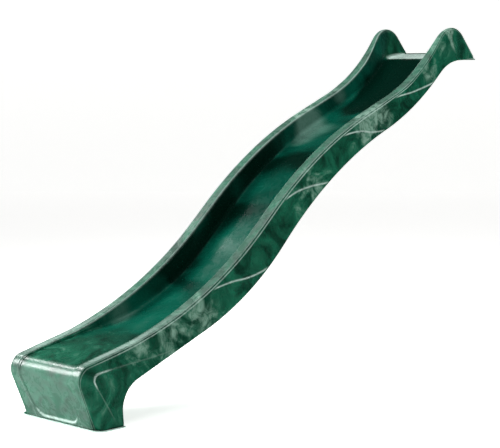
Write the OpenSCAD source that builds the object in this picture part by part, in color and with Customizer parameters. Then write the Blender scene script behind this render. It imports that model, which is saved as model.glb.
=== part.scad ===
// Wave slide for a garden platform: a twin-wall moulding that hangs from the platform's edge.
// +Y points up the slide to the platform, X runs across it, and Z is up.
// The origin is on the platform's top, midway between the two screw holes.
// Each corner of a side-view outline is [level distance, height, rounding], where the rounding is
// the length that the curve takes off both lines at that corner.

/* [Platform] */
// Height of the platform's top above the ground
deck_height = 1500; // [1380:10:1650]
// Level distance from the front of the foot to the back edge of the deck flange
slide_run = 2607; // [2450:1:2900]

/* [Chute] */
// Clear width between the rims
throat_width = 340; // [300:1:400]
// Width of the bed between the side walls, where they meet it
bed_width = 324; // [290:1:390]
// Width of each rim's flat top
rim_width = 51; // [42:1:60]
// Width over the cheeks at their lower edges
body_width = 488; // [470:1:560]
// Thickness of the plastic skin
skin = 4.5; // [3:0.5:6]
// Radius between the bed and the side walls
bed_fillet = 22; // [8:1:30]
// Radius along the edges of the rims
rim_round = 8; // [6:1:12]
// Radius in plan of the foot's front corners
foot_corner = 34; // [24:1:60]
// Width of the foot's front panel at the ground
panel_width = 276; // [220:1:300]

/* [Rim line] */
// Nose of the foot, from the foot's front and the ground
rim_nose = [-102, 255, 75]; // [-200:1:400]
// Start of the run-out's rise
rim_runout = [243, 335, 50]; // [20:1:500]
// Valley of the wave
rim_valley = [694, 488, 398]; // [200:1:900]
// Crest of the wave, from the flange's back edge and the platform's top
rim_crest = [-1244, -406, 390]; // [-1500:1:600]
// Dip below the ears
rim_dip = [-461, -87, 236]; // [-600:1:400]
// Peak of the ears
rim_ear = [-210, 230, 150]; // [-300:1:300]
// Tail of the ears, where they come down to the flange
rim_tail = [-14, 20, 8]; // [-60:1:60]

/* [Bed line] */
// Nose of the bed at the foot
bed_nose = [-94, 248, 66]; // [-200:1:400]
// Level start of the run-out
bed_runout = [80, 291, 50]; // [20:1:500]
// Valley of the bed
bed_valley = [737, 394, 360]; // [200:1:900]
// Crest of the bed, from the flange's back edge and the platform's top
bed_crest = [-1177, -477, 296]; // [-1500:1:600]
// Dip where the bed turns up to the seat
bed_dip = [-457, -155, 120]; // [-600:1:400]
// Front edge of the seat
seat_nose = [-265, 0, 18]; // [-300:1:300]
// Back edge of the seat
seat_back = [-56, 37, 10]; // [-100:1:100]

/* [Lower edge line] */
// Heel of the foot
low_heel = [141, 6, 8]; // [0:1:200]
// Knee between the foot and the belly
low_knee = [127, 150, 96]; // [60:1:250]
// Valley of the belly
low_valley = [894, 446, 306]; // [200:1:1000]
// Crest of the belly, from the flange's back edge and the platform's top
low_crest = [-1176, -511, 430]; // [-1500:1:600]
// Dip of the belly
low_dip = [-538, -246, 236]; // [-700:1:400]
// Hook that turns the belly on to the platform's edge
low_hook = [-263, -8, 89]; // [-400:1:300]

/* [Ears] */
// Thickness of the fin that closes each ear at the back
fin = 11; // [10:0.5:16]
// Distance from the flange's back edge to the round edge where the hollow cheek ends
fin_length = 190; // [150:1:230]

/* [Flanges] */
// Thickness of the deck flange
flange = 7; // [5:0.5:10]
// Length of the deck flange on the platform
flange_length = 157; // [120:1:200]
// Thickness of the foot's base plate
base_plate = 6; // [4:0.5:10]
// How far the foot's front panel lies behind its rims at the ground
panel_recess = 6; // [5:0.5:12]
// How far the pinched lip stands out around the foot
base_lip = 8; // [4:1:14]
// Radius of the two screw holes in the deck flange
screw_r = 3.5; // [2.5:0.25:5]
// Distance between the two screw holes
screw_spacing = 240; // [160:1:320]
// Distance from the screw holes to the flange's back edge
screw_inset = 24; // [16:1:30]

/* [Tack-off posts] */
// Radius of each post that ties the bed to the belly
post_r = 12; // [8:1:16]
// Distance between the two rows of posts
post_spacing = 170; // [120:1:220]

/* [Hidden] */
green = [0.10, 0.33, 0.24];
dark_green = [0.05, 0.22, 0.17];
pale_green = [0.36, 0.52, 0.43];
gap = 0.3;
post_rows = [26, 46];
throat_half = throat_width / 2;
bed_half = bed_width / 2;
rim_half = throat_half + rim_width;
body_half = body_width / 2;
fin_inner = rim_half - fin - 5;
belly_inset = skin + 1.5 + gap;
flange_front = slide_run - flange_length;
flange_top = deck_height + flange;
fin_edge = slide_run - fin_length;
ear_splay = 250;
seat_slant = 14;
foot_flare = 5;
panel_height = 230;

// Rows of points in each stretch of the three outlines: line, round, line, round and so on.
// All three have the same total, and a row lies about square to the slide.
rim_steps = [6, 8, 4, 2, 1, 15, 2, 10, 2, 8, 2, 9, 5, 3, 2];
bed_steps = [6, 8, 1, 2, 5, 13, 4, 8, 4, 7, 2, 5, 9, 3, 2];
low_steps = [6, 8, 1, 5, 6, 10, 1, 12, 1, 6, 1, 9, 8, 3, 2];
heel_row = rim_steps[0];
nose_row = rim_steps[0] + rim_steps[1];
seat_row = sum([for (i = [0 : 10]) bed_steps[i]]);
last_row = sum(rim_steps);

function sum(v, i = 0) = i < len(v) ? v[i] + sum(v, i + 1) : 0;
function unit(v) = v / norm(v);
function mix(a, b, t) = a + (b - a) * t;
function ease(a, b, v) = let (t = min(max((v - a) / (b - a), 0), 1)) t * t * (3 - 2 * t);
function from_deck(p) = [slide_run + p[0], deck_height + p[1], p[2]];

// Rounding at corner i, shortened where two neighbours would meet on a short line
function share(c, i) = norm([c[i + 1][0] - c[i][0], c[i + 1][1] - c[i][1]]) * 0.98
    / max(c[i][2] + c[i + 1][2], 1);
function rounding(c, i) = c[i][2] * min(1, share(c, i - 1), share(c, i));
function corner(c, i) = [c[i][0], c[i][1]];
function arc_start(c, i) = i == len(c) - 1 ? corner(c, i)
    : corner(c, i) + unit(corner(c, i - 1) - corner(c, i)) * rounding(c, i);
function arc_end(c, i) = i == 0 ? corner(c, i)
    : corner(c, i) + unit(corner(c, i + 1) - corner(c, i)) * rounding(c, i);

// A circular round through a corner, as a rational curve of the second degree
function round_point(c, i, t) =
    let (a = arc_start(c, i), b = corner(c, i), e = arc_end(c, i),
         w = norm(e - a) / (2 * max(norm(b - a), 0.001)))
    ((1 - t) * (1 - t) * a + 2 * t * (1 - t) * w * b + t * t * e)
    / ((1 - t) * (1 - t) + 2 * t * (1 - t) * w + t * t);
function stretch_point(c, s, t) = s % 2 == 0
    ? mix(arc_end(c, s / 2), arc_start(c, s / 2 + 1), t)
    : round_point(c, (s + 1) / 2, t);
function outline(c, steps) = [
    for (s = [0 : len(steps) - 1], k = [0 : steps[s] - 1]) stretch_point(c, s, k / steps[s]),
    corner(c, len(c) - 1)];

rim_line = outline([[0, base_plate, 0], rim_nose, rim_runout, rim_valley, from_deck(rim_crest),
    from_deck(rim_dip), from_deck(rim_ear), from_deck(rim_tail),
    from_deck([rim_tail[0] + 2, flange + gap + skin, 0])], rim_steps);
bed_line = outline([[panel_recess, base_plate, 0], bed_nose, bed_runout, bed_valley,
    from_deck(bed_crest), from_deck(bed_dip), from_deck(seat_nose), from_deck(seat_back),
    from_deck([seat_back[0] + 1, flange + gap, 0])], bed_steps);
low_line = outline([[foot_corner, base_plate, 0], low_heel, low_knee, low_valley,
    from_deck(low_crest), from_deck(low_dip), from_deck(low_hook),
    from_deck([-80, 0, 10]), from_deck([rim_tail[0], 0, 0])], low_steps);

// Half width of the front panel at a height z
function panel_x(z) = mix(panel_width / 2, bed_half, ease(0, panel_height, z));

// Half width of the side wall's top and of the cheek at a level distance y
function wall_x(y) = mix(throat_half, fin_inner, ease(fin_edge - ear_splay, fin_edge + 10, y));
function rim_x(row) = row >= heel_row ? rim_half
    : mix(low_x(0) - foot_corner, rim_half, row / heel_row);
function low_x(row) = body_half + foot_flare * (1 - ease(heel_row, nose_row, row));
function cheek_x(x, y) = mix(x, fin_inner + fin, ease(fin_edge - 4, fin_edge + 24, y));
function cheek_z(y, z) = y > flange_front - 4 ? max(z, flange_top + gap) : z;

function place(x, p) = [x, p[0], p[1]];

// Half of the section at one row, from the middle of the bed to the cheek's lower edge
function half_section(row) =
    let (rim = rim_line[row], bed = bed_line[row],
         low = [low_line[row][0], cheek_z(low_line[row][0], low_line[row][1])],
         rise = norm(rim - bed), up = rise > 0.01 ? unit(rim - bed) : [0, 0],
         f = min(bed_fillet, rise * 0.45), e = min(rim_round, rise * 0.45),
         front = row < nose_row, outer = cheek_x(rim_x(row), rim[0]),
         inner = front ? panel_x(rim[1]) + throat_half - bed_half : wall_x(rim[0]),
         foot = front ? panel_x(rim[1])
             : mix(bed_half, inner - seat_slant, ease(fin_edge - ear_splay, fin_edge, bed[0])),
         edge = min(rim_round, (outer - inner) * 0.3),
         drop = min(rim_round, norm(low - rim) * 0.3),
         down = norm(low - rim) > 0.01 ? unit(low - rim) : [0, 0],
         roundness = max(0, 1 - row / nose_row))
    concat(
        [place(0, bed), place(foot - f - 40, bed)],
        [for (a = [0, 30, 60, 90]) place(foot - f + f * sin(a), bed + up * f * (1 - cos(a)))],
        [place(inner, rim - up * e), place(inner + edge * 0.3, rim - up * e * 0.3)],
        [place(inner + edge, rim), place(outer - edge, rim)],
        [place(outer - edge * 0.3, rim + down * drop * 0.3 * (1 - roundness))],
        [for (s = [0, 0.33, 0.67, 1])
            let (a = s * 90, across = mix(s, sin(a), roundness), along = mix(s, 1 - cos(a), roundness),
                 top = rim + down * drop * (1 - roundness),
                 p = [mix(top[0], low[0], along), mix(top[1], low[1], along)],
                 x = mix(rim_x(row), low_x(row), across))
            place(cheek_x(x, p[0]), p)]);
half_count = 15;
middle = half_count - 1;
bed_edge = 5;

// The whole section runs from the right cheek's lower edge over both rims to the left one's
function flip(p) = [-p[0], p[1], p[2]];
function section(row) = let (half = half_section(row))
    concat([for (k = [middle : -1 : 0]) half[k]], [for (k = [1 : middle]) flip(half[k])]);
upper = [for (row = [0 : last_row]) section(row)];

// Skin of even thickness on one face of a grid of points
function clamp_index(i, n) = min(max(i, 0), n - 1);
function grid_normal(g, i, k) =
    let (rows = len(g), cols = len(g[0]),
         along = g[clamp_index(i + 1, rows)][k] - g[clamp_index(i - 1, rows)][k],
         across = g[i][clamp_index(k + 1, cols)] - g[i][clamp_index(k - 1, cols)])
    unit(cross(along, across));
function inset(g, t) = [for (i = [0 : len(g) - 1])
    [for (k = [0 : len(g[0]) - 1]) g[i][k] - grid_normal(g, i, k) * t]];

// Closed solid between the same part of two grids, rows i0 to i1 and columns k0 to k1
module sheet(top, under, i0, i1, k0, k1) {
    rows = i1 - i0 + 1;
    cols = k1 - k0 + 1;
    size = rows * cols;
    points = concat([for (i = [i0 : i1], k = [k0 : k1]) top[i][k]],
                    [for (i = [i0 : i1], k = [k0 : k1]) under[i][k]]);
    function at(i, k) = i * cols + k;
    faces = concat(
        [for (i = [0 : rows - 2], k = [0 : cols - 2], h = [0, 1]) h == 0
            ? [at(i, k), at(i, k + 1), at(i + 1, k + 1)]
            : [at(i, k), at(i + 1, k + 1), at(i + 1, k)]],
        [for (i = [0 : rows - 2], k = [0 : cols - 2], h = [0, 1]) h == 0
            ? [size + at(i, k), size + at(i + 1, k + 1), size + at(i, k + 1)]
            : [size + at(i, k), size + at(i + 1, k), size + at(i + 1, k + 1)]],
        [for (k = [0 : cols - 2], h = [0, 1]) h == 0
            ? [at(0, k), size + at(0, k), size + at(0, k + 1)]
            : [at(0, k), size + at(0, k + 1), at(0, k + 1)]],
        [for (k = [0 : cols - 2], h = [0, 1]) h == 0
            ? [at(rows - 1, k), size + at(rows - 1, k + 1), size + at(rows - 1, k)]
            : [at(rows - 1, k), at(rows - 1, k + 1), size + at(rows - 1, k + 1)]],
        [for (i = [0 : rows - 2], h = [0, 1]) h == 0
            ? [at(i, 0), at(i + 1, 0), size + at(i + 1, 0)]
            : [at(i, 0), size + at(i + 1, 0), size + at(i, 0)]],
        [for (i = [0 : rows - 2], h = [0, 1]) h == 0
            ? [at(i, cols - 1), size + at(i + 1, cols - 1), at(i + 1, cols - 1)]
            : [at(i, cols - 1), size + at(i, cols - 1), size + at(i + 1, cols - 1)]]);
    in_frame() polyhedron(points, faces, convexity = 8);
}

// From the foot's corner on the ground to the slide's own origin at the screw holes
module in_frame() {
    translate([0, screw_inset - slide_run, -deck_height]) children();
}

upper_inside = inset(upper, skin);
left_of_bed = middle + bed_edge;
right_of_bed = middle - bed_edge;

module foot_base() {
    color(dark_green) in_frame() linear_extrude(base_plate - gap)
        foot_outline(base_lip);
}

module foot_outline(lip) {
    back = low_heel[0] + gap;
    side = low_x(0) + lip;
    r = foot_corner + lip;
    polygon(concat(
        [for (a = [180 : 10 : 270]) [-side + r + r * cos(a), r - lip + r * sin(a)]],
        [for (a = [270 : 10 : 360]) [side - r + r * cos(a), r - lip + r * sin(a)]],
        [for (a = [0 : 15 : 90]) [side - lip + lip * cos(a), back - lip + lip * sin(a)]],
        [for (a = [90 : 15 : 180]) [-side + lip + lip * cos(a), back - lip + lip * sin(a)]]));
}

module foot_front() {
    color(pale_green) sheet(upper, upper_inside, 0, nose_row, right_of_bed, left_of_bed);
}

module slide_bed() {
    color(dark_green) sheet(upper, upper_inside, nose_row, seat_row, right_of_bed, left_of_bed);
}

module deck_seat() {
    color(pale_green) sheet(upper, upper_inside, seat_row, last_row, right_of_bed, left_of_bed);
}

module left_rail() {
    color(green) sheet(upper, upper_inside, 0, last_row, left_of_bed, 2 * middle);
}

module right_rail() {
    color(green) sheet(upper, upper_inside, 0, last_row, 0, right_of_bed);
}

// The belly runs from the heel to the deck flange, between the cheeks
belly_rows = [for (row = [heel_row : last_row]) if (low_line[row][0] < flange_front - gap
    || row < nose_row) row];
belly = [for (row = belly_rows) let (half = cheek_x(low_x(row), low_line[row][0]) - belly_inset)
    [for (s = [-1, -0.5, 0, 0.5, 1]) place(s * half, low_line[row])]];
belly_inside = inset(belly, skin);

module belly_skin() {
    color(dark_green) sheet(belly, belly_inside, 0, len(belly) - 1, 0, 4);
}

module deck_flange() {
    r = 12;
    color(green) in_frame() translate([0, 0, deck_height]) difference() {
        linear_extrude(flange) polygon(concat(
            [[-rim_half, flange_front], [rim_half, flange_front]],
            [for (a = [0 : 15 : 90]) [rim_half - r + r * cos(a), slide_run - r + r * sin(a)]],
            [for (a = [90 : 15 : 180]) [-rim_half + r + r * cos(a), slide_run - r + r * sin(a)]]));
        for (x = [-screw_spacing / 2, screw_spacing / 2])
            translate([x, slide_run - screw_inset, -1])
                cylinder(r = screw_r, h = flange + 2, $fn = 32);
    }
}

// Distance from a point down to the belly's outline along a direction
function belly_depth(p, down) = min([for (row = [nose_row : last_row - 12])
    let (a = low_line[row], e = low_line[row + 1] - a, q = a - p,
         det = down[1] * e[0] - down[0] * e[1],
         t = (q[1] * e[0] - q[0] * e[1]) / det,
         s = (down[0] * q[1] - down[1] * q[0]) / det)
    s >= 0 && s <= 1 && t > 0 ? t : deck_height]);

// One post stands square to the bed and reaches from its underside to the belly
module post(row) {
    top = bed_line[row];
    dir = unit(bed_line[row + 1] - bed_line[row - 1]);
    down = [dir[1], -dir[0]];
    reach = min([for (r = [-post_r, 0, post_r]) belly_depth(top + dir * r, down)]);
    start = top + down * (skin + gap);
    translate([0, start[0], start[1]]) rotate([atan2(-down[0], down[1]), 0, 0])
        cylinder(r = post_r, h = reach - 2 * (skin + gap), $fn = 32);
}

module tack_off_posts() {
    color(dark_green) in_frame() for (row = [post_rows[0] : 4 : post_rows[1]], side = [-1, 1])
        translate([side * post_spacing / 2, 0, 0]) post(row);
}

foot_base();
foot_front();
slide_bed();
deck_seat();
left_rail();
right_rail();
belly_skin();
deck_flange();
tack_off_posts();
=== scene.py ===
import math

import bmesh
import bpy
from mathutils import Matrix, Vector


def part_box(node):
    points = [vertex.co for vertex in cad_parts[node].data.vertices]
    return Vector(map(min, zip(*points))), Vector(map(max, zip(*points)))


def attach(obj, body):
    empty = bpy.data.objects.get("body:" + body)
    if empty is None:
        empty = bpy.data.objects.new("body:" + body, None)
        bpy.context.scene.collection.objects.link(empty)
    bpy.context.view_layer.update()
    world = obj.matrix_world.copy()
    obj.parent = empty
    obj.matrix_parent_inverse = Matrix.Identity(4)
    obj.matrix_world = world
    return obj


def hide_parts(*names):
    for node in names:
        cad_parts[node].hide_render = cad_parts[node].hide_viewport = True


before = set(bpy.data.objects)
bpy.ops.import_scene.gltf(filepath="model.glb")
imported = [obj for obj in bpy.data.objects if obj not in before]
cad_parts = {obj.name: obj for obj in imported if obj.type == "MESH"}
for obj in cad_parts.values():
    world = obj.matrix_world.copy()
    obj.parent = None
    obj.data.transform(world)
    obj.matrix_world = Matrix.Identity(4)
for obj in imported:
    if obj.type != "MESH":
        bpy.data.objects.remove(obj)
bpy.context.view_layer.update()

# ---------------------------------------------------------------- sizes, in millimetres
# Side-view outlines are measured from the foot's front edge and the ground. Each corner is
# (level distance, height, length that the round takes off both lines).
RIM_LINE = [(0, 6, 0), (-102, 255, 75), (243, 335, 50), (694, 488, 398), (1363, 1094, 390),
            (2146, 1413, 236), (2397, 1730, 150), (2593, 1520, 8), (2595, 1511.8, 0)]
BED_LINE = [(6, 6, 0), (-94, 248, 66), (80, 291, 50), (737, 394, 360), (1430, 1023, 296),
            (2150, 1345, 120), (2342, 1500, 18), (2551, 1537, 10), (2552, 1507.3, 0)]
LOW_LINE = [(34, 6, 0), (141, 6, 8), (127, 150, 96), (894, 446, 306), (1431, 989, 430),
            (2069, 1254, 236), (2344, 1492, 89), (2527, 1500, 10), (2593, 1500, 0)]
RIM_STEPS = [6, 8, 4, 2, 1, 15, 2, 10, 2, 8, 2, 9, 5, 3, 2]
BED_STEPS = [6, 8, 1, 2, 5, 13, 4, 8, 4, 7, 2, 5, 9, 3, 2]
LOW_STEPS = [6, 8, 1, 5, 6, 10, 1, 12, 1, 6, 1, 9, 8, 3, 2]
LAST = sum(RIM_STEPS)
# Rows where the foot's nose, its panel's sheet and the bed's sheet end
NOSE = 14
PANEL_END = 14.5
BED_END = 59
THROAT = 170
BED_HALF = 162
PANEL_HALF = 138
RIM_OUT = 221
BODY_HALF = 244
FIN_OUT = 216
FIN_IN = 205
FIN_START = 2417
SEAM = 124
UNDER_SEAM = 226
SKIN = 4.5
FILLET = 22
ROUND = 8
FOOT_CORNER = 34
FOOT_FLARE = 5
EAR_SPLAY = 250
SEAT_SLANT = 14
FLANGE_FRONT = 2450

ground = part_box("foot_base")[0].z
foot_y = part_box("foot_base")[0].y + 0.008


def ease(a, b, v):
    t = min(max((v - a) / (b - a), 0), 1)
    return t * t * (3 - 2 * t)


def mix(a, b, t):
    return a + (b - a) * t


def place(x, p):
    """A point of the slide in the frame, from millimetres across, along and up."""
    return Vector((x / 1000, foot_y + p[0] / 1000, ground + p[1] / 1000))


def rounded_line(corners, steps):
    """Outline with circular rounds, as a function of the row; rows share out by steps."""
    points = [Vector(c[:2]) for c in corners]
    cuts = [c[2] for c in corners]
    trimmed = list(cuts)
    for i in range(1, len(corners) - 1):
        for j in (i - 1, i):
            room = (points[j + 1] - points[j]).length * 0.98 / max(cuts[j] + cuts[j + 1], 1)
            trimmed[i] = min(trimmed[i], cuts[i] * min(1, room))
    stretches = []
    start = points[0]
    for i in range(1, len(corners) - 1):
        a = points[i] + (points[i - 1] - points[i]).normalized() * trimmed[i]
        e = points[i] + (points[i + 1] - points[i]).normalized() * trimmed[i]
        w = (e - a).length / (2 * (points[i] - a).length)
        stretches += [(start, None, a, 1), (a, points[i], e, w)]
        start = e
    stretches.append((start, None, points[-1], 1))

    def at(row):
        for count, (a, b, e, w) in zip(steps, stretches):
            if row <= count or e is points[-1]:
                t = min(row / count, 1)
                if b is None:
                    return a.lerp(e, t)
                p, q, r = (1 - t) ** 2, 2 * t * (1 - t) * w, t * t
                return (a * p + b * q + e * r) / (p + q + r)
            row -= count
    return at


rim_at = rounded_line(RIM_LINE, RIM_STEPS)
bed_at = rounded_line(BED_LINE, BED_STEPS)
low_at = rounded_line(LOW_LINE, LOW_STEPS)


def smooth_path(points, per=6):
    """Smooth curve through the points."""
    p = [Vector(q) for q in points]
    p = [p[0] * 2 - p[1]] + p + [p[-1] * 2 - p[-2]]
    path = []
    for a, b, c, d in zip(p, p[1:], p[2:], p[3:]):
        for k in range(per):
            t = k / per
            path.append((b * 2 + (c - a) * t + (a * 2 - b * 5 + c * 4 - d) * t * t
                         + (b * 3 - a - c * 3 + d) * t ** 3) / 2)
    return path + [p[-2]]


# Ridges moulded into the cheeks: the path in side view, its height, its fade below, and the
# stretch where a highlight is painted pale along the bead.
RIDGES = [
    ([(103, 9), (45, 117), (2, 192), (-1, 216), (14, 232), (60, 240), (180, 253), (320, 266), (464, 285)],
     3.4, 26, (200, 300)),
    ([(545, 462), (610, 486), (674, 508), (780, 529), (875, 538), (970, 561), (1068, 603), (1130, 662)],
     3.6, 30, (60, 700)),
    ([(1050, 815), (1108, 853), (1195, 894), (1300, 918), (1420, 932), (1500, 965)], 3.4, 28, (60, 380)),
    ([(1440, 1105), (1500, 1130), (1574, 1149), (1655, 1158), (1723, 1152), (1800, 1155), (1900, 1170)],
     3.6, 28, (60, 400)),
    ([(1850, 1296), (1952, 1320), (2064, 1341), (2186, 1376), (2260, 1410)], 3.2, 26, (60, 400)),
]
ridges = []
for points, height, fade, painted_pale in RIDGES:
    path = smooth_path(points)
    length = [0]
    for a, b in zip(path, path[1:]):
        length.append(length[-1] + (b - a).length)
    ys, zs = [q.x for q in path], [q.y for q in path]
    limits = (min(ys) - 30, max(ys) + 30, min(zs) - 40, max(zs) + 12)
    ridges.append((path, length, height, fade, painted_pale, limits))


def ridge_height(p):
    """How far the cheek stands out at a point of the side view, and how much highlight is painted
    there. Each ridge is a bead with a soft swelling below it."""
    out, pale = 0, 0
    for path, length, height, fade, painted_pale, (y0, y1, z0, z1) in ridges:
        if not (y0 < p.x < y1 and z0 < p.y < z1):
            continue
        best = None
        for i in range(len(path) - 1):
            a, step = path[i], path[i + 1] - path[i]
            t = min(max((p - a).dot(step) / step.length_squared, 0), 1)
            off = p - a - step * t
            if best is None or off.length_squared < best[0]:
                side = step.y * off.x - step.x * off.y
                best = (off.length_squared, side, length[i] + step.length * t)
        distance = math.sqrt(best[0]) * (1 if best[1] > 0 else -1)
        ends = ease(0, 90, best[2]) * ease(0, 90, length[-1] - best[2])
        bead = math.exp(-(distance / 3.4) ** 2)
        below = max(0, 1 - max(distance, 0) / fade) ** 1.6 * ease(-3, 3, distance)
        bright = ease(painted_pale[0] - 20, painted_pale[0] + 10, best[2]) * (1 - ease(painted_pale[1] - 10, painted_pale[1] + 40, best[2]))
        out += height * ends * (0.72 * bead + 0.45 * below) * mix(0.45, 1, bright)
        pale = max(pale, mix(0.12, 1, bright) * ends * math.exp(-((distance + 1) / 2.7) ** 2))
    return out, pale


# Pale and dark patches laid over the marbling, each placed by itself and not by any rule of the
# plastic: across, along, up, radius and amount. Several are painted highlights, such as the bright
# patches on the ear's round edge, and several are painted shade, such as the dark patches on the
# upper bed, the left wall and the fin.
CLOUD_AND_PAINTED_LIGHT_PATCHES = [
    (235, 240, 320, 90, 0.45), (235, 420, 340, 100, 0.55), (235, 590, 415, 95, 0.7),
    (235, 860, 560, 120, -0.5), (235, 1080, 690, 120, -0.35), (235, 1290, 910, 100, 0.4),
    (235, 1460, 1050, 70, -0.3), (235, 1690, 1190, 80, 0.9), (235, 1820, 1240, 85, 0.95),
    (235, 1980, 1300, 80, -0.4), (235, 2190, 1430, 60, 0.8), (225, 2300, 1560, 60, 0.35),
    (228, 2362, 1655, 26, 2.0), (228, 2384, 1624, 26, 2.2), (228, 2394, 1585, 24, 2.0),
    (228, 2400, 1552, 18, 0.9), (205, 2470, 1590, 60, -1.0),
    (-235, 500, 380, 110, 0.7), (-235, 900, 600, 120, -0.4), (-235, 1200, 850, 110, 0.6),
    (-235, 1750, 1200, 100, 0.8), (-235, 2150, 1400, 90, 0.5),
    (-185, 2250, 1480, 90, 0.9), (-175, 1980, 1300, 90, 1.1), (-175, 1710, 1180, 80, 0.8),
    (-180, 1425, 980, 120, -0.6), (-180, 1180, 770, 140, -0.8), (-180, 980, 570, 120, -0.7),
    (-110, 1630, 1080, 70, 0.7), (-30, 1740, 1150, 110, 0.4), (-90, 970, 620, 60, 0.5),
    (-60, 1030, 680, 60, 0.45), (0, 1470, 990, 110, -0.5), (-60, 1960, 1240, 100, -0.9),
    (-40, 2100, 1290, 150, -1.2), (0, 2270, 1400, 170, -1.4), (-110, 2300, 1440, 110, -1.2),
]


def cloud_and_painted_light_amount(v):
    """How far the patches and the walls' painted shade lighten a point of the skin, or darken it below 0.
    Some of the patches are painted highlights and painted shade.
    """
    p = Vector((v.x, v.y - foot_y, v.z - ground)) * 1000
    # Darkens the side walls halfway down, which stands for shade and not for a deeper green
    wall = ease(150, 158, abs(p.x)) * (1 - ease(171, 175, abs(p.x)))
    total = -0.55 * wall * ease(350, 700, p.y) * (1 - ease(1450, 1700, p.y))
    for x, y, z, radius, amount in CLOUD_AND_PAINTED_LIGHT_PATCHES:
        far = (p.x - x) ** 2 + (p.y - y) ** 2 + (p.z - z) ** 2
        if far < 6 * radius ** 2:
            total += amount * math.exp(-far / radius ** 2)
    return total


def throat_half(y):
    return mix(THROAT, FIN_IN, ease(FIN_START - EAR_SPLAY, FIN_START + 10, y))


def low_half(row):
    return BODY_HALF + FOOT_FLARE * (1 - ease(6, NOSE, row))


def hollow(p):
    """1 where the cheek stands out full, 0 on the fin behind the ear's round edge."""
    edge = FIN_START - 42 + (1650 - p.y) * 0.36
    return 1 - ease(edge - 22, edge + 22, p.x) * ease(1490, 1512, p.y)


def panel_half(height):
    """Half width of the front panel, which the rims close in on towards the ground."""
    return mix(PANEL_HALF, BED_HALF, ease(0, 230, height))


def panel_depth(x, height):
    """Share of the front panel's recess, which ends in a sloped ledge with round corners."""
    r = 55
    corner = min(max(abs(x) - (PANEL_HALF - r), 0), r)
    ledge = 9 + r - math.sqrt(r * r - corner * corner)
    return ease(ledge, ledge + 18, height)


def panel_painted_sheen(row, x, share):
    """How pale the front panel is painted: a painted sheen all over it, and a painted highlight that is
    strongest on its sloped ledge.
    """
    ledge = 4 * share * (1 - share) * (1 - ease(PANEL_HALF - 14, PANEL_HALF - 2, abs(x)))
    return 0 if row >= NOSE else mix(0.15, 1.1, ledge) * (1 - ease(11, NOSE, row) * 0.6)


PLAIN_EDGE = [(-8 + 8 * math.sin(math.radians(10 * k)), 8 - 8 * math.cos(math.radians(10 * k)))
              for k in range(10)] + [(0.3, 9.2), (0.7, 10.3), (1.2, 11.5)]
LEDGE_EDGE = [(-5, 0), (-3.5, 0.3), (-2.2, 1.2), (-1.4, 2.5), (-1.0, 4), (-0.6, 5.2), (0.6, 6.0),
              (2.6, 6.3), (4.9, 6.4), (6.2, 7.0), (7.2, 8.2), (7.8, 9.7), (8.2, 11.5)]
# Painted highlight along the rim's outer round and the ledge's edge, one amount for each point of the edge
EDGE_PAINTED_HIGHLIGHT = [0.15, 0.25, 0.5, 0.5, 0.25, 0.05, 0, 0, 0.1, 0.4, 0.7, 0.4, 0.05]
# Painted highlight on the seat's flat
SEAT_PAINTED_HIGHLIGHT = 1.8
WALL_ROWS = 9
CHEEK_ROWS = 60


def trough_share(row):
    """1 in the trough, 0 on the foot's nose and on the seat. The trough's darker teal stands partly for
    its own colour and partly for painted shade.
    """
    return ease(14, 25, row) * (1 - ease(64, 66, row))


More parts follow.
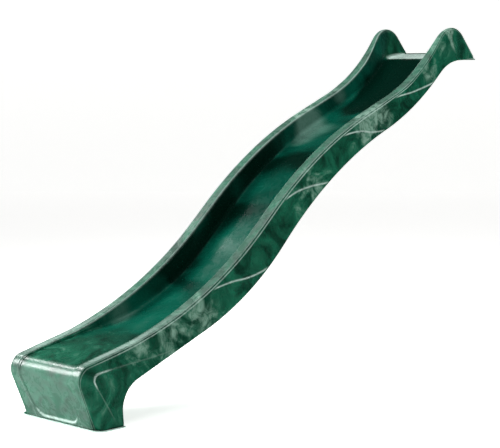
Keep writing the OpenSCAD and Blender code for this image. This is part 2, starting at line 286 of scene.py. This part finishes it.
def rail_section(row):
    """Closed section of the right rail: bed fillet, wall, rim, ledge, cheek, lower edge, inside.
    Each point has its place, its share of the trough's darker colour and how much highlight is painted on it."""
    rim, bed, low = rim_at(row), bed_at(row), low_at(row)
    rise, fall = (bed - rim).length, (low - rim).length
    in_down = (bed - rim) / max(rise, 0.01)
    out_down = (low - rim) / max(fall, 0.01)
    inner = throat_half(rim.x)
    foot = mix(BED_HALF, inner - SEAT_SLANT, ease(FIN_START - EAR_SPLAY, FIN_START, bed.x))
    if row < NOSE:
        foot = panel_half(rim.y)
        inner = foot + THROAT - BED_HALF
    outer = RIM_OUT if row >= 6 else mix(low_half(0) - FOOT_CORNER, RIM_OUT, row / 6)
    outer = mix(FIN_OUT, outer, hollow(rim))
    width = outer - inner
    f = min(FILLET, rise * 0.45)
    e = min(ROUND, rise * 0.45, width * 0.4)
    in_trough = trough_share(row)
    section = []

    # The seat's flat and the foot of its fillets are painted pale, a painted highlight
    seat = SEAT_PAINTED_HIGHLIGHT * ease(65, 67, row)

    def add(x, p, painted_highlight=0.0, trough=0.0):
        section.append((place(x, p), trough * in_trough, painted_highlight))

    def inside(x, depth, painted_highlight=0.0, trough=1.0):
        height = (rim + in_down * depth).y
        share = panel_depth(x, height) if row < NOSE else 1
        add(x, rim + in_down * depth * share, max(painted_highlight, panel_painted_sheen(row, x, share)), trough)

    for k in range(4):
        inside(mix(SEAM, foot - f, k / 4), rise, seat)
    for k in range(9):
        a = math.radians(k * 90 / 8)
        inside(foot - f + f * math.sin(a), rise - f * (1 - math.cos(a)), seat * (1 - k / 8))
    for k in range(1, WALL_ROWS):
        t = k / WALL_ROWS
        inside(mix(foot, inner, t), mix(rise - f, e, t))
    # The rim's inner round carries a painted highlight
    for k in range(7):
        a = math.radians(k * 90 / 6)
        inside(inner + e - e * math.cos(a), e - e * math.sin(a), 0.10 + 0.42 * math.sin(2 * a), 1 - k / 6)
    # The rim's top is painted pale near the foot's nose, a painted highlight
    for t in (0.25, 0.5, 0.75):
        add(mix(inner + e, outer - min(8, width * 0.4), t), rim,
            mix(0.15, 0.52, ease(12, 16, row)) * mix(1, 0.25, ease(17, 27, row)))
    ledge = ease(13, 17, row) * (1 - ease(2040, 2150, rim.x))
    tight = min(1, fall * 0.5 / 11.5)
    narrow = min(1, width * 0.4 / 8)
    # Painted highlight along the outer round and the ledge's edge
    for plain, stepped, painted_highlight in zip(PLAIN_EDGE, LEDGE_EDGE, EDGE_PAINTED_HIGHLIGHT):
        x, depth = mix(plain[0], stepped[0], ledge), mix(plain[1], stepped[1], ledge)
        add(outer + x * narrow, rim + out_down * depth * tight, painted_highlight * mix(0.5, 1, ledge))
    roundness = max(0, 1 - row / NOSE)
    start = 11.5 * tight
    top_x = outer + mix(1.2, 8.2, ledge) * narrow
    edge = min(7, fall * 0.25)
    swell = mix(1, 0.4, ease(2230, 2370, rim.x))
    for k in range(1, CHEEK_ROWS + 1):
        s = k / CHEEK_ROWS
        across = mix(s ** swell, math.sin(s * math.pi / 2), roundness)
        along = mix(s, 1 - math.cos(s * math.pi / 2), roundness)
        p = rim + out_down * mix(start, fall - edge, along)
        full = mix(top_x, low_half(row), across)
        x = mix(min(full, FIN_OUT + 0.4), full, hollow(p))
        # The ridges' bead carries a painted highlight
        out, pale = ridge_height(p)
        ends = ease(0, 0.06, s) * ease(0, 0.05, 1 - s)
        add(x + out * ends, p, pale * ends)
    low_x = mix(FIN_OUT, low_half(row), hollow(low - out_down * edge))
    for k in range(1, 6):
        a = math.radians(k * 90 / 5)
        add(low_x - edge * (1 - math.cos(a)), low - out_down * edge * (1 - math.sin(a)))
    under = min(UNDER_SEAM, low_x - edge - 1)
    hidden = min(SKIN, fall * 0.3)
    add(under, low)
    add(under, low - out_down * hidden)
    add(low_x - SKIN - 1, low - out_down * max(edge, hidden))
    add(top_x - SKIN, rim + out_down * (start + 3) * tight)
    add(outer - SKIN - 1, rim + out_down * (SKIN + 1) * tight)
    add(min(inner + SKIN + 1, outer - SKIN - 1.5), rim + in_down * min(SKIN + 1, rise * 0.5))
    add(foot + SKIN, rim + in_down * max(rise - f, rise * 0.6))
    add(foot - f * 0.3 + SKIN * 0.7, rim + in_down * (rise - f * 0.3 + SKIN * 0.7))
    add(foot - f, rim + in_down * (rise + SKIN))
    add(SEAM, rim + in_down * (rise + SKIN))
    return section


def row_list(first, last, per=8):
    """Rows between two rows, closer together at the foot's base, where the ledge is."""
    rows = [first]
    while rows[-1] < last - 1e-6:
        rows.append(min(last, rows[-1] + 1 / (per * 1.6 if rows[-1] < 1.5 else per)))
    return rows


def shade_smooth(bm, sharp=38):
    for face in bm.faces:
        face.smooth = True
    for edge in bm.edges:
        if len(edge.link_faces) == 2:
            edge.smooth = edge.calc_face_angle(0) < math.radians(sharp)


def finished(name, bm):
    """Smooth-shaded object made of a bmesh, which is freed."""
    shade_smooth(bm)
    mesh = bpy.data.meshes.new(name)
    bm.to_mesh(mesh)
    bm.free()
    piece = bpy.data.objects.new(name, mesh)
    bpy.context.scene.collection.objects.link(piece)
    return piece


def loft(name, sections):
    """Closed sections of equal length joined row by row into one closed skin. Each of its points
    carries its share of the trough's darker colour, how much highlight is painted on it, and the
    patches' amount, which holds painted highlights and painted shade too."""
    rows, columns = len(sections), len(sections[0])
    bm = bmesh.new()
    bmesh.ops.create_grid(bm, x_segments=columns, y_segments=rows - 1, size=1)
    trough = bm.verts.layers.float.new("trough")
    painted_highlight = bm.verts.layers.float.new("painted_highlight")
    cloud_and_painted_light = bm.verts.layers.float.new("cloud_and_painted_light")
    for v in bm.verts:
        k = round((v.co.x + 1) / 2 * columns) % columns
        i = round((v.co.y + 1) / 2 * (rows - 1))
        v.co, v[trough], v[painted_highlight] = sections[i][k]
        v[cloud_and_painted_light] = cloud_and_painted_light_amount(v.co)
    bmesh.ops.remove_doubles(bm, verts=bm.verts, dist=1e-6)
    open_edges = [e for e in bm.edges if len(e.link_faces) == 1]
    caps = bmesh.ops.holes_fill(bm, edges=open_edges, sides=0)["faces"]
    bmesh.ops.triangulate(bm, faces=caps)
    bmesh.ops.recalc_face_normals(bm, faces=bm.faces)
    return finished(name, bm)


def strip_section(row, columns=24, under=6):
    """Closed section of the sheet between the rails' seams: front panel, bed or seat."""
    rim, bed = rim_at(row), bed_at(row)
    rise = (bed - rim).length
    in_down = (bed - rim) / max(rise, 0.01)
    section = []
    for k in range(columns + 1):
        x = mix(-SEAM, SEAM, k / columns)
        share = panel_depth(x, bed.y) if row < NOSE else 1
        # Painted sheen and highlight on the front panel, painted highlight on the seat
        painted_pale = panel_painted_sheen(row, x, share) + SEAT_PAINTED_HIGHLIGHT * ease(65, 67, row)
        section.append((place(x, rim + in_down * rise * share), trough_share(row), painted_pale))
    for k in range(under + 1):
        section.append((place(mix(SEAM, -SEAM, k / under), rim + in_down * (rise + SKIN)), 0, 0))
    return section


POST_ROWS = range(26, 47, 4)
POST_X = 85
dimples = []
for row in POST_ROWS:
    bed = bed_at(row)
    foot = min((low_at(k / 8) for k in range(NOSE * 8, (LAST - 12) * 8)), key=lambda q: (q - bed).length)
    for x in (-POST_X, POST_X):
        dimples.append((x, foot, (bed - foot).normalized(), (bed - foot).length - 2 * SKIN - 0.5))


def belly_section(row, columns=72):
    """Closed section of the belly between the cheeks' lower edges, with its tack-off dimples."""
    rim, low = rim_at(row), low_at(row)
    after = low_at(min(row + 0.05, LAST)) - low_at(max(row - 0.05, 0))
    up = Vector((-after.y, after.x)).normalized()
    fall = (low - rim).length
    edge = min(7, fall * 0.25)
    half = min(UNDER_SEAM, mix(FIN_OUT, BODY_HALF, hollow(low + up * edge)) - edge - 1)
    near = [d for d in dimples if (d[1] - low).length < 40]
    outside, inside = [], []
    for k in range(columns + 1):
        x = mix(-half, half, k / columns)
        p = low.copy()
        for post_x, centre, direction, depth in near:
            r = math.hypot(x - post_x, (low - centre).length)
            p += direction * depth * (1 - ease(9, 31, r))
        outside.append((place(x, p), 0, 0))
        inside.append((place(x, p + up * SKIN), 0, 0))
    return outside + inside[::-1]


rows = row_list(0, LAST)
rail = [rail_section(row) for row in rows]
right_rail = loft("right_rail_skin", rail)
left_rail = loft("left_rail_skin", [[(Vector((-p.x, p.y, p.z)), *values) for p, *values in section]
                                    for section in rail])
foot_front = loft("foot_panel", [strip_section(row) for row in row_list(0, PANEL_END)])
bed = loft("bed_skin", [strip_section(row) for row in row_list(PANEL_END, BED_END)])
seat = loft("seat_step", [strip_section(row) for row in row_list(BED_END, LAST)])
belly_end = next(row for row in row_list(60, LAST, 20) if low_at(row).x > FLANGE_FRONT - 1)
belly = loft("belly_sheet", [belly_section(row) for row in row_list(6, belly_end, 6)])


def softened(name, node, width):
    """A CAD plate with its sharp edges rounded and painted pale as a highlight."""
    bm = bmesh.new()
    bm.from_mesh(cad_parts[node].data)
    bmesh.ops.remove_doubles(bm, verts=bm.verts, dist=1e-6)
    bmesh.ops.dissolve_limit(bm, angle_limit=math.radians(1), verts=bm.verts, edges=bm.edges)
    sharp = [e for e in bm.edges if len(e.link_faces) == 2 and e.calc_face_angle(0) > math.radians(60)]
    bmesh.ops.bevel(bm, geom=sharp, offset=width / 1000, segments=3, profile=0.5, affect="EDGES", material=-1)
    wide = [f for f in bm.faces if len(f.verts) > 4]
    bmesh.ops.inset_region(bm, faces=wide, thickness=width / 500, use_boundary=True, use_even_offset=True)
    # Every bevelled edge gets the painted highlight, the wide faces none
    painted_highlight = bm.verts.layers.float.new("painted_highlight")
    for v in bm.verts:
        v[painted_highlight] = 1.5
    for f in bm.faces:
        if len(f.verts) > 4:
            for v in f.verts:
                v[painted_highlight] = 0
    bmesh.ops.triangulate(bm, faces=[f for f in bm.faces if len(f.verts) > 4])
    return finished(name, bm)


flange = softened("deck_flange_plate", "deck_flange", 2)
base = softened("foot_base_plate", "foot_base", 2)

# ---------------------------------------------------------------- materials


def linear(code):
    """sRGB hex to the linear colour that shaders take."""
    parts = [int(code[i:i + 2], 16) / 255 for i in (1, 3, 5)]
    return [c / 12.92 if c <= 0.04045 else ((c + 0.055) / 1.055) ** 2.4 for c in parts] + [1]


def node(tree, kind, inputs=None, stops=(), **settings):
    """Adds a node; an input is a value, or a socket to link from, and stops are a ramp's colours."""
    made = tree.nodes.new(kind)
    for key, value in settings.items():
        setattr(made, key, value)
    for key, value in (inputs or {}).items():
        if isinstance(value, bpy.types.NodeSocket):
            tree.links.new(value, made.inputs[key])
        else:
            made.inputs[key].default_value = value
    while stops and len(made.color_ramp.elements) < len(stops):
        made.color_ramp.elements.new(0.5)
    for element, (position, code) in zip(made.color_ramp.elements if stops else (), stops):
        element.position = position
        element.color = linear(code)
    return made


def moulded_hdpe(name):
    """Blow-moulded HDPE, marbled: a satin, waxy green in which paler resin has not quite mixed in.
    It gives feathery pale clouds, a darker teal in the trough that stands partly for its own colour and
    partly for painted shade, painted highlights on edges, ridges, the front panel and the seat, and a
    faint orange peel from the mould. The patches' attribute lays the placed patches over that, painted
    highlights and painted shade among them."""
    material = bpy.data.materials.new(name)
    material.use_nodes = True
    tree = material.node_tree
    tree.nodes.clear()

    where = node(tree, "ShaderNodeTexCoord").outputs["Object"]
    cloud_and_painted_light, painted_highlight, trough = (node(tree, "ShaderNodeAttribute", attribute_name=layer).outputs["Fac"]
                             for layer in ("cloud_and_painted_light", "painted_highlight", "trough"))
    patches, feathers, pools = (
        node(tree, "ShaderNodeTexNoise", {"Vector": where, "Scale": scale, "Detail": detail,
                                          "Roughness": roughness, "Distortion": twist}).outputs["Fac"]
        for scale, detail, roughness, twist in (
            (7.0, 4.0, 0.6, 1.6), (19.0, 9.0, 0.66, 1.3), (3.6, 2.5, 0.5, 0.6)))

    # Amount of pale resin on the outside and in the trough, below 0 where the green is deep, with the
    # placed patches' painted highlights and painted shade added
    amounts = []
    for noise, gain, offset in ((patches, 2.4, -1.28), (pools, 1.6, -0.85)):
        own = node(tree, "ShaderNodeMath", {0: noise, 1: gain, 2: offset}, operation="MULTIPLY_ADD")
        both = node(tree, "ShaderNodeMath", {0: own.outputs[0], 1: cloud_and_painted_light}, operation="ADD")
        amounts.append(both.outputs[0])
    density, depth = amounts

    # Each share is a smooth step of a value from low to high, which gives least to most
    pale, deep, feathered, pool_pale, pool_deep, highlight_breakup, roughness = (
        node(tree, "ShaderNodeMapRange", {"Value": value, "From Min": low, "From Max": high,
                                          "To Min": least, "To Max": most},
             interpolation_type="SMOOTHSTEP").outputs["Result"]
        for value, low, high, least, most in (
            (density, 0.08, 0.80, 0.0, 1.0), (density, -0.15, -0.95, 0.0, 1.0),
            (feathers, 0.36, 0.60, 0.15, 1.0), (depth, 0.12, 0.85, 0.0, 1.0),
            (depth, -0.15, -0.85, 0.0, 1.0), (feathers, 0.32, 0.56, 0.6, 1.0),
            (feathers, 0.25, 0.75, 0.20, 0.36)))
    # The pale and deep shares carry the patches' painted highlights and painted shade as well as the
    # marbling; the fourth is the painted highlight, broken up by the feathers
    clouded, sunken, pooled, painted_pale = (
        node(tree, "ShaderNodeMath", {0: one, 1: other}, operation="MULTIPLY").outputs[0]
        for one, other in ((pale, feathered), (deep, 0.5), (pool_pale, 0.7), (painted_highlight, highlight_breakup)))

    outside = node(tree, "ShaderNodeValToRGB", {"Fac": patches},
                   stops=[(0.36, OUTSIDE_DARK), (0.64, OUTSIDE_GREEN)]).outputs["Color"]
    for factor, code in ((clouded, OUTSIDE_CLOUD_AND_HIGHLIGHT), (sunken, DEEP_GREEN_AND_SHADE)):
        outside = node(tree, "ShaderNodeMix", {"Factor": factor, "A": outside, "B": linear(code)},
                       data_type="RGBA").outputs["Result"]
    inside = node(tree, "ShaderNodeValToRGB", {"Fac": pools},
                  stops=[(0.36, TROUGH_DARK), (0.62, TROUGH_GREEN)]).outputs["Color"]
    for factor, code in ((pooled, TROUGH_CLOUD_AND_REFLECTION), (pool_deep, DEEP_GREEN_AND_SHADE)):
        inside = node(tree, "ShaderNodeMix", {"Factor": factor, "A": inside, "B": linear(code)},
                      data_type="RGBA").outputs["Result"]
    # Over the outside: the trough's colour, which is partly painted shade, then the painted highlight's tint
    colour = outside
    for factor, over in ((trough, inside), (painted_pale, linear(PAINTED_HIGHLIGHT_TINT))):
        colour = node(tree, "ShaderNodeMix", {"Factor": factor, "A": colour, "B": over},
                      data_type="RGBA").outputs["Result"]

    peel = node(tree, "ShaderNodeTexNoise", {"Vector": where, "Scale": 240.0, "Detail": 2.0})
    waves = node(tree, "ShaderNodeTexNoise", {"Vector": where, "Scale": 13.0, "Detail": 2.0})
    bump = node(tree, "ShaderNodeBump", {"Height": peel.outputs["Fac"], "Strength": 0.15,
                                         "Distance": 0.001})
    bump = node(tree, "ShaderNodeBump", {"Height": waves.outputs["Fac"], "Strength": 0.25,
                                         "Distance": 0.006, "Normal": bump.outputs["Normal"]})
    shader = node(tree, "ShaderNodeBsdfPrincipled",
                  {"Base Color": colour, "Roughness": roughness,
                   "IOR": 1.36, "Normal": bump.outputs["Normal"]})
    node(tree, "ShaderNodeOutputMaterial", {"Surface": shader.outputs["BSDF"]})
    return material


# The pale cloud colours also serve for painted highlights and painted reflections, the deepest green for
# painted shade and the palest tint for painted highlights; the trough's greens stand partly for painted shade
OUTSIDE_GREEN = "#186b50"
OUTSIDE_DARK = "#06412e"
OUTSIDE_CLOUD_AND_HIGHLIGHT = "#86ad9a"
DEEP_GREEN_AND_SHADE = "#011f16"
PAINTED_HIGHLIGHT_TINT = "#cde6dc"
TROUGH_GREEN = "#075f4c"
TROUGH_DARK = "#03382c"
TROUGH_CLOUD_AND_REFLECTION = "#6f9789"
marbled_green = moulded_hdpe("moulded_hdpe_marbled")

PIECES = [
    (right_rail, ["right_rail"], "upper_skin", marbled_green),
    (left_rail, ["left_rail"], "upper_skin", marbled_green),
    (foot_front, ["foot_front"], "upper_skin", marbled_green),
    (bed, ["slide_bed"], "upper_skin", marbled_green),
    (seat, ["deck_seat"], "upper_skin", marbled_green),
    (belly, ["belly_skin", "tack_off_posts"], "lower_skin", marbled_green),
    (flange, ["deck_flange"], "flange", marbled_green),
    (base, ["foot_base"], "lower_skin", marbled_green),
]
for piece, nodes, slot, material in PIECES:
    piece.data.materials.append(material)
    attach(piece, "root")
    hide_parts(*nodes)
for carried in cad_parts.values():
    carried.data.materials.clear()
    carried.data.materials.append(marbled_green)

# ---------------------------------------------------------------- floor, light and camera


def plain(name, code, roughness, glow):
    """Matt paint that is lit evenly, so that it stays pale."""
    material = bpy.data.materials.new(name)
    material.use_nodes = True
    shader = material.node_tree.nodes["Principled BSDF"]
    shader.inputs["Base Color"].default_value = linear(code)
    shader.inputs["Roughness"].default_value = roughness
    shader.inputs["Emission Color"].default_value = linear(code)
    shader.inputs["Emission Strength"].default_value = glow
    return material


# Floor and backdrop in one sheet, swept up in a wide round behind the slide
bm = bmesh.new()
start = bm.verts.new((-14, -12, 0))
end = bm.verts.new((14, -12, 0))
edge = bm.edges.new((start, end))
for k in range(1, 16):
    a = math.radians(max(k - 3, 0) * 7.5)
    along = 10 + 6 * math.sin(a) if k > 2 else -12 + 11 * k
    made = bmesh.ops.extrude_edge_only(bm, edges=[edge])["geom"]
    edge = next(g for g in made if isinstance(g, bmesh.types.BMEdge))
    for v in edge.verts:
        v.co.y, v.co.z = along, 6 - 6 * math.cos(a)
bmesh.ops.recalc_face_normals(bm, faces=bm.faces)
floor = finished("studio_floor", bm)
floor.location.z = ground - 0.0005
floor.rotation_euler.z = math.radians(43)
floor.visible_glossy = False
floor.data.materials.append(plain("painted_studio_floor", "#fbfbfa", 0.9, 0.78))

world = bpy.data.worlds.new("studio")
bpy.context.scene.world = world
world.use_nodes = True
tree = world.node_tree
tree.nodes.clear()
way = node(tree, "ShaderNodeTexCoord").outputs["Generated"]
split = node(tree, "ShaderNodeSeparateXYZ", {"Vector": way}).outputs
height = node(tree, "ShaderNodeMapRange", {"Value": split["Z"], "From Min": -1.0}).outputs["Result"]
side = node(tree, "ShaderNodeMapRange", {"Value": split["X"], "From Min": -0.5, "From Max": 0.5,
                                         "To Min": 1.0, "To Max": 0.42}).outputs["Result"]
sky = node(tree, "ShaderNodeValToRGB", {"Fac": height},
           stops=[(0.45, "#9a9a9a"), (0.50, "#c8c8c8"), (0.66, "#c8c8c8"), (0.80, "#5c5c5c"),
                  (1.0, "#4a4a4a")]).outputs["Color"]
# Reflections see a darker studio than the one that lights the plastic, so that the green stays deep
paths = node(tree, "ShaderNodeLightPath").outputs
dimmed = node(tree, "ShaderNodeMapRange", {"Value": paths["Is Glossy Ray"], "To Min": 1.0,
                                           "To Max": 0.14}).outputs["Result"]
side = node(tree, "ShaderNodeMath", {0: side, 1: dimmed}, operation="MULTIPLY").outputs[0]
background = node(tree, "ShaderNodeBackground", {"Color": sky, "Strength": side})
white = node(tree, "ShaderNodeBackground", {"Color": linear("#f6f6f5")})
seen = node(tree, "ShaderNodeMixShader", {0: paths["Is Camera Ray"], 1: background.outputs[0],
                                          2: white.outputs[0]})
node(tree, "ShaderNodeOutputWorld", {"Surface": seen.outputs[0]})


def lamp(name, size, power, place, target, mirrored=True):
    data = bpy.data.lights.new(name, "AREA")
    data.shape = "SQUARE"
    data.size = size
    data.energy = power
    light = bpy.data.objects.new(name, data)
    light.visible_glossy = mirrored
    light.location = place
    light.rotation_euler = (Vector(target) - Vector(place)).to_track_quat("-Z", "Y").to_euler()
    bpy.context.scene.collection.objects.link(light)


bpy.context.scene.view_settings.view_transform = "Standard"
lamp("front_softbox", 1.0, 80, (-1.79, -3.9, 0.03), (0, -2.6, -1.27))
lamp("left_softbox", 0.9, 46, (-3.0, -2.3, 1.6), (0, -2.5, -1.2))
lamp("top_softbox", 3.0, 115, (0.6, -1.0, 3.2), (0, -1.2, -0.5), mirrored=False)

camera = bpy.data.cameras.new("camera")
camera.sensor_width = 36
camera.lens = 108.26
camera.shift_x = -0.0033
camera.shift_y = -0.0208
eye = bpy.data.objects.new("camera", camera)
eye.location = (4.752, -6.455, -0.056)
azimuth, below = math.radians(43.406), math.radians(5.4275)
look = Vector((-math.sin(azimuth) * math.cos(below), math.cos(azimuth) * math.cos(below), -math.sin(below)))
eye.rotation_euler = look.to_track_quat("-Z", "Y").to_euler()
bpy.context.scene.collection.objects.link(eye)
bpy.context.scene.camera = eye
